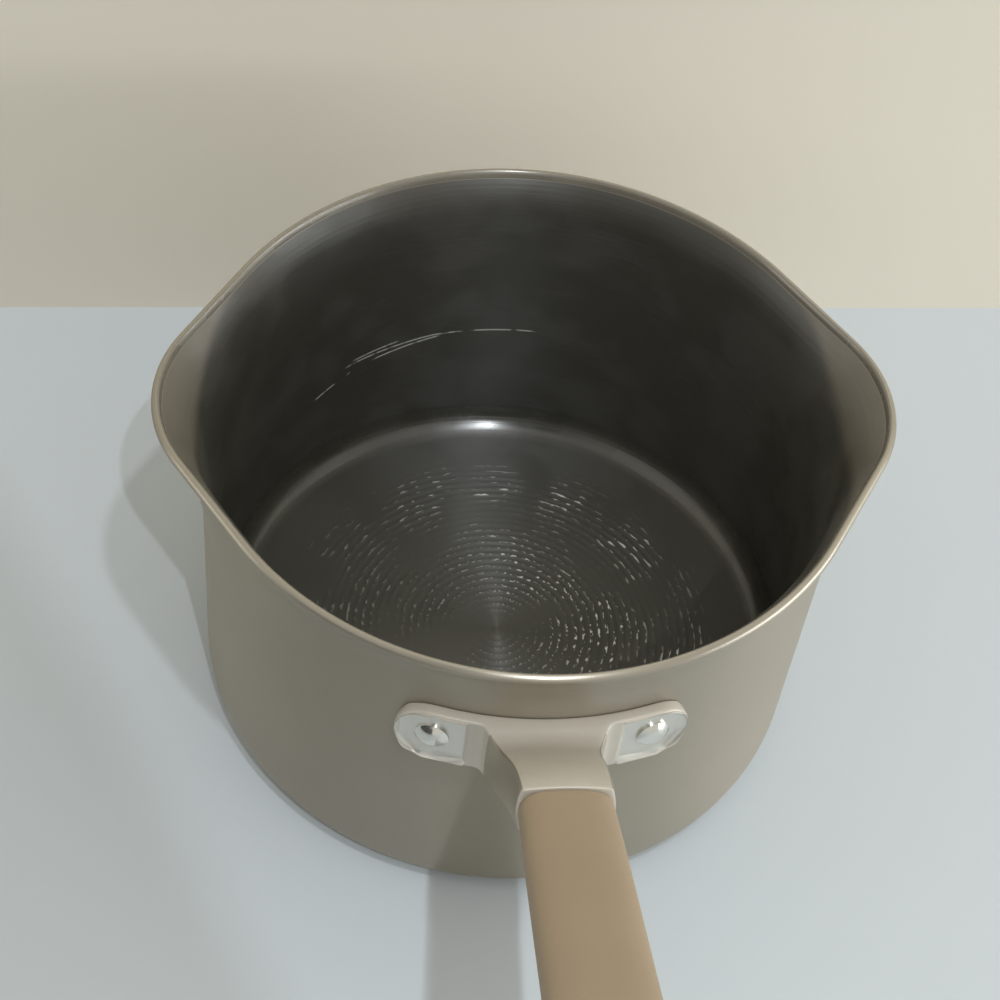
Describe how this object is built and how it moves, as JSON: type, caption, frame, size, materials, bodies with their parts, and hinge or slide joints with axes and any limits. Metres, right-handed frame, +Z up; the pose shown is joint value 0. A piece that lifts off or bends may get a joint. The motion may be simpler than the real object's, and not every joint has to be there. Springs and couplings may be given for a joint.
{
  "type": "saucepan",
  "caption": "Straight-walled saucepan with a flared rim, wide pouring lips at its sides, a dark coated inside and a long grip on a riveted bracket.",
  "frame": {"origin": "centre of the pan's flat underside", "axes": "+Z up through the open mouth, -Y along the handle, +X and -X towards the pouring lips"},
  "size_m": [0.224, 0.4035, 0.1853],
  "materials": {
    "pan_metal": "satin champagne coat",
    "lining_coat": "semi-matt non-stick coat",
    "bracket_metal": "satin",
    "rivet_metal": "polished",
    "grip_plastic": "matt tan",
    "rod_steel": "plain"
  },
  "bodies": {
    "root": {"pan_body": "pan_metal", "nonstick_lining": "lining_coat", "handle_bracket": "bracket_metal", "rivet_left": "rivet_metal", "rivet_right": "rivet_metal", "handle_grip": "grip_plastic", "tie_rod": "rod_steel", "hanging_cap": "bracket_metal"}
  },
  "joints": []
}
